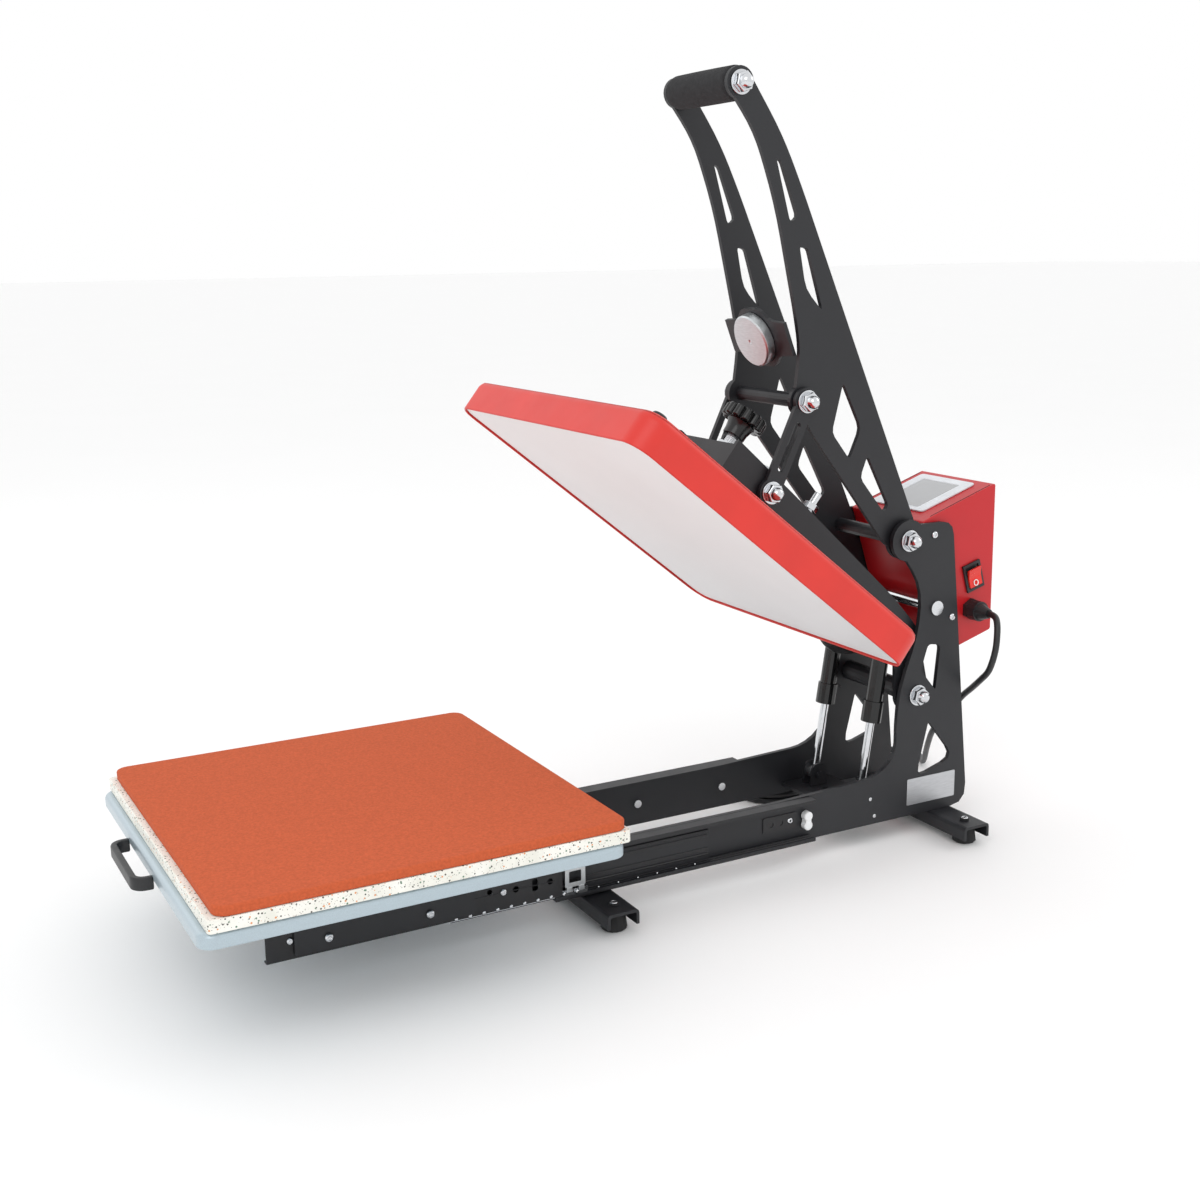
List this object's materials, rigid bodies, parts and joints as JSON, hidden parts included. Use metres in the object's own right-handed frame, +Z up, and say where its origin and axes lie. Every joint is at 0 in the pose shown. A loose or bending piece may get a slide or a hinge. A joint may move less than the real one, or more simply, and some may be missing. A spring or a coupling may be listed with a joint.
{
  "type": "heat press",
  "caption": "Clamshell heat press with a tilting heated head, toggle handle, gas springs, a pull-out padded lower platen on drawer slides, and a control box.",
  "frame": {"origin": "middle of the footprint of the press on the table top, without its mains cord, with the lower platen pulled out and the head open", "axes": "+X is the operator's right, +Y is the rear, +Z is up"},
  "size_m": [0.382, 1.0075, 0.8017],
  "materials": {
    "black_paint": "satin powder coat",
    "black_plastic": "moulded",
    "rubber": "soft",
    "bright_steel": "polished",
    "zinc_plate": "zinc plated",
    "red_cover": "satin powder coat",
    "red_box": "satin powder coat",
    "tray_paint": "satin, metallic grey",
    "insulating_board": "flecked",
    "silicone_sponge": "porous",
    "release_sheet": "smooth coated sheet",
    "cast_aluminium": "machined",
    "wool_blanket": "felted",
    "panel_plastic": "smooth",
    "rocker_plastic": "smooth",
    "circuit_board": "lacquered"
  },
  "bodies": {
    "frame": {"side_plate_right": "black_paint", "side_plate_left": "black_paint", "front_foot_bar": "black_paint", "rear_foot_bar": "black_paint", "front_foot_right": "rubber", "front_foot_left": "rubber", "rear_foot_right": "rubber", "rear_foot_left": "rubber", "spring_foot_plate": "black_paint", "handle_axle": "bright_steel", "head_axle": "bright_steel", "tie_rod": "bright_steel", "outer_rail_right": "black_paint", "outer_rail_left": "black_paint", "control_box": "red_box", "touch_panel": "panel_plastic", "control_board": "circuit_board", "switch_surround": "black_plastic", "cable_gland": "black_plastic", "power_cord": "black_plastic", "cord_coil": "black_plastic", "cord_tail": "black_plastic", "mains_plug": "black_plastic", "conduit": "black_plastic"},
    "head": {"release_sheet": "release_sheet", "heater_plate": "cast_aluminium", "insulation_blanket": "wool_blanket", "head_cover": "red_cover", "head_carrier": "black_paint", "electromagnet": "zinc_plate", "pressure_screw": "bright_steel"},
    "pressure_knob": {"pressure_knob": "black_plastic"},
    "handle": {"handle_pivot_tube": "black_paint", "handle_arm_right": "black_paint", "handle_arm_left": "black_paint", "grip_bolt": "bright_steel", "foam_grip": "rubber", "link_spacer_tube": "black_paint", "armature_disc": "zinc_plate", "armature_plate": "black_paint"},
    "links": {"link_bolt": "bright_steel", "toggle_link_right": "black_paint", "toggle_link_left": "black_paint"},
    "spring_rod_right": {"spring_rod_right": "bright_steel"},
    "spring_cylinder_right": {"spring_cylinder_right": "black_paint"},
    "spring_rod_left": {"spring_rod_left": "bright_steel"},
    "spring_cylinder_left": {"spring_cylinder_left": "black_paint"},
    "mid_slides": {"mid_rail_right": "black_paint", "mid_rail_left": "black_paint"},
    "drawer": {"silicone_pad": "silicone_sponge", "platen_board": "insulating_board", "platen_tray": "tray_paint", "drawer_pull": "black_plastic", "inner_rail_right": "black_paint", "inner_rail_left": "black_paint", "drawer_bracket_right": "black_paint", "drawer_bracket_left": "black_paint"},
    "power_rocker": {"power_rocker": "rocker_plastic"}
  },
  "joints": [
    {"name": "head_hinge", "type": "hinge", "parent": "frame", "child": "head", "pos_m": [0, 0.3599, 0.1608], "axis": [1, 0, 0], "range_deg": [0, 38.75], "stiffness_Nm_per_rad": 30, "springref_deg": -91.67, "deforming": ["conduit"]},
    {"name": "pressure_knob_turn", "type": "hinge", "parent": "head", "child": "pressure_knob", "pos_m": [0, 0.17006, 0.45421], "axis": [0, 0.6259, 0.7799], "range_deg": [-720, 720]},
    {"name": "handle_swing", "type": "hinge", "parent": "frame", "child": "handle", "pos_m": [0, 0.3426, 0.332], "axis": [1, 0, 0], "range_deg": [0, 63.7]},
    {"name": "link_swing", "type": "hinge", "parent": "handle", "child": "links", "pos_m": [0, 0.2101, 0.4854], "axis": [1, 0, 0], "range_deg": [-94.8, 0]},
    {"name": "spring_tilt_right", "type": "hinge", "parent": "frame", "child": "spring_rod_right", "pos_m": [0.041, 0.305, 0.05], "axis": [1, 0, 0], "range_deg": [0, 14.6]},
    {"name": "spring_stroke_right", "type": "slide", "parent": "spring_rod_right", "child": "spring_cylinder_right", "axis": [0, 0.1586, 0.9873], "range_m": [-0.035, 0]},
    {"name": "spring_tilt_left", "type": "hinge", "parent": "frame", "child": "spring_rod_left", "pos_m": [-0.041, 0.305, 0.05], "axis": [1, 0, 0], "range_deg": [0, 14.6]},
    {"name": "spring_stroke_left", "type": "slide", "parent": "spring_rod_left", "child": "spring_cylinder_left", "axis": [0, 0.1586, 0.9873], "range_m": [-0.035, 0]},
    {"name": "drawer_slide", "type": "slide", "parent": "frame", "child": "drawer", "axis": [0, 1, 0], "range_m": [0, 0.282]},
    {"name": "mid_slide", "type": "slide", "parent": "frame", "child": "mid_slides", "axis": [0, 1, 0], "range_m": [0, 0.119]},
    {"name": "power_rocker_tip", "type": "hinge", "parent": "frame", "child": "power_rocker", "pos_m": [0.0637, 0.437, 0.2825], "axis": [0, 0.9613, 0.2756], "range_deg": [-18, 0]}
  ],
  "couplings": [
    {"joint": "handle_swing", "follows": "head_hinge", "ratio": 1.6413},
    {"joint": "link_swing", "follows": "head_hinge", "ratio": -2.4433},
    {"joint": "spring_tilt_right", "follows": "head_hinge", "ratio": 0.37549},
    {"joint": "spring_tilt_left", "follows": "head_hinge", "ratio": 0.37549},
    {"joint": "spring_stroke_right", "follows": "head_hinge", "m_per_rad": -0.051466},
    {"joint": "spring_stroke_left", "follows": "head_hinge", "m_per_rad": -0.051466},
    {"joint": "mid_slide", "follows": "drawer_slide", "ratio": 0.41844}
  ]
}
